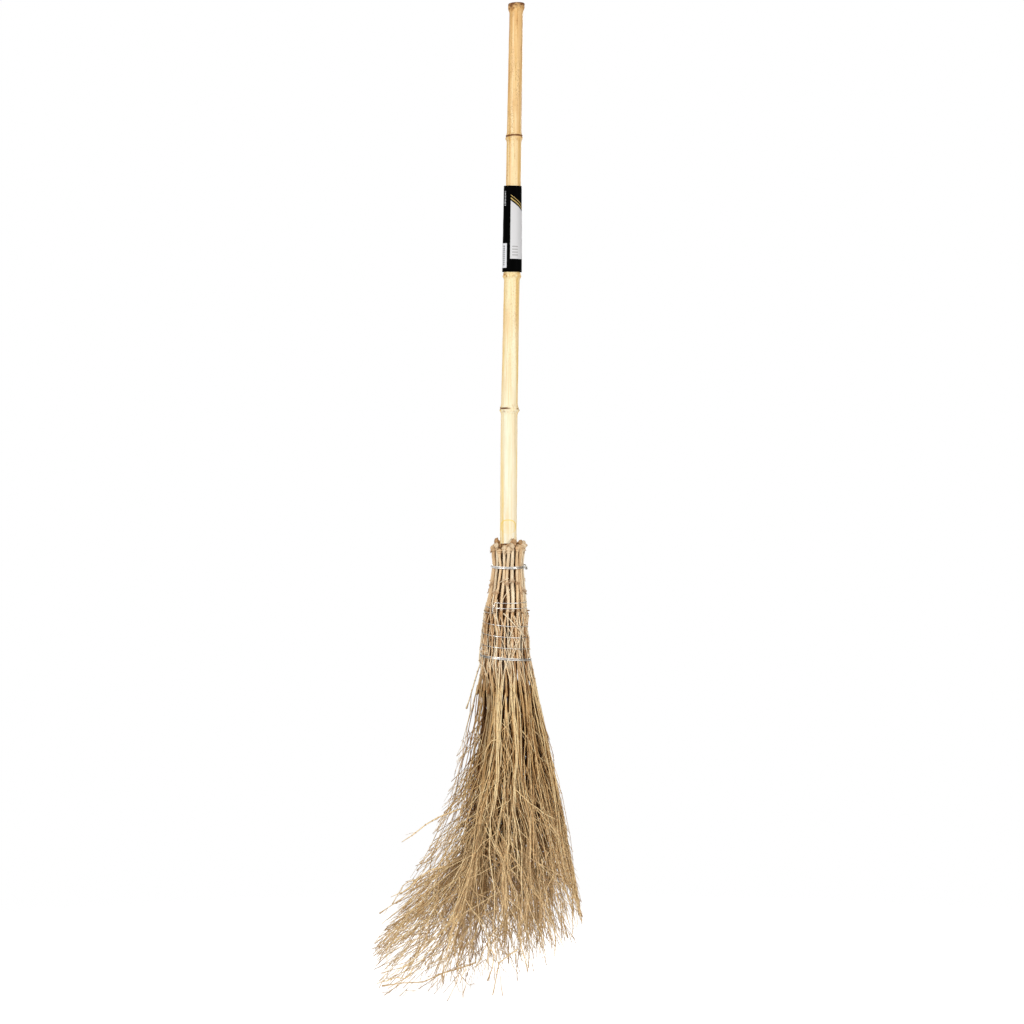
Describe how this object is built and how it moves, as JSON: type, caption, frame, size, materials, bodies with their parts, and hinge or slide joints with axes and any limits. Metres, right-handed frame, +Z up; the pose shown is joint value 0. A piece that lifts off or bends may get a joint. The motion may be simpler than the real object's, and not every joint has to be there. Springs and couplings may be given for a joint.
{
  "type": "twig broom",
  "caption": "Yard broom: a bamboo cane with a swept head of dry twigs bound on by galvanised wire, and a loose card label round the cane.",
  "frame": {"origin": "middle of the cane's sawn top face", "axes": "+Z up along the broom, out of the cane's top; the head is below and sweeps to -X; -Y is the front"},
  "size_m": [0.3203, 0.233, 1.4852],
  "materials": {
    "bamboo": "smooth natural skin",
    "dry_twig": "dull dry bark",
    "galvanised_wire": "dull zinc",
    "printed_card": "satin printed card, black with a plain silver-grey field"
  },
  "bodies": {
    "broom": {"bamboo_cane": "bamboo", "inner_twig_01": "dry_twig", "inner_twig_02": "dry_twig", "inner_twig_03": "dry_twig", "inner_twig_04": "dry_twig", "inner_twig_05": "dry_twig", "inner_twig_06": "dry_twig", "inner_twig_07": "dry_twig", "inner_twig_08": "dry_twig", "inner_twig_09": "dry_twig", "inner_twig_10": "dry_twig", "inner_twig_11": "dry_twig", "inner_twig_12": "dry_twig", "inner_twig_13": "dry_twig", "inner_twig_14": "dry_twig", "inner_twig_15": "dry_twig", "inner_twig_16": "dry_twig", "inner_twig_17": "dry_twig", "inner_twig_18": "dry_twig", "lower_binding_wire": "galvanised_wire", "outer_twig_01": "dry_twig", "outer_twig_02": "dry_twig", "outer_twig_03": "dry_twig", "outer_twig_04": "dry_twig", "outer_twig_05": "dry_twig", "outer_twig_06": "dry_twig", "outer_twig_07": "dry_twig", "outer_twig_08": "dry_twig", "outer_twig_09": "dry_twig", "outer_twig_10": "dry_twig", "outer_twig_11": "dry_twig", "outer_twig_12": "dry_twig", "outer_twig_13": "dry_twig", "outer_twig_14": "dry_twig", "outer_twig_15": "dry_twig", "outer_twig_16": "dry_twig", "outer_twig_17": "dry_twig", "outer_twig_18": "dry_twig", "outer_twig_19": "dry_twig", "outer_twig_20": "dry_twig", "outer_twig_21": "dry_twig", "outer_twig_22": "dry_twig", "spiral_wire": "galvanised_wire", "tie_wire": "galvanised_wire", "upper_binding_wire": "galvanised_wire"},
    "label": {"label_sleeve": "printed_card"}
  },
  "joints": [
    {"name": "label_slide", "type": "slide", "parent": "broom", "child": "label", "axis": [0.0155, -0.0109, 0.9998], "range_m": [0, 0.068]}
  ]
}
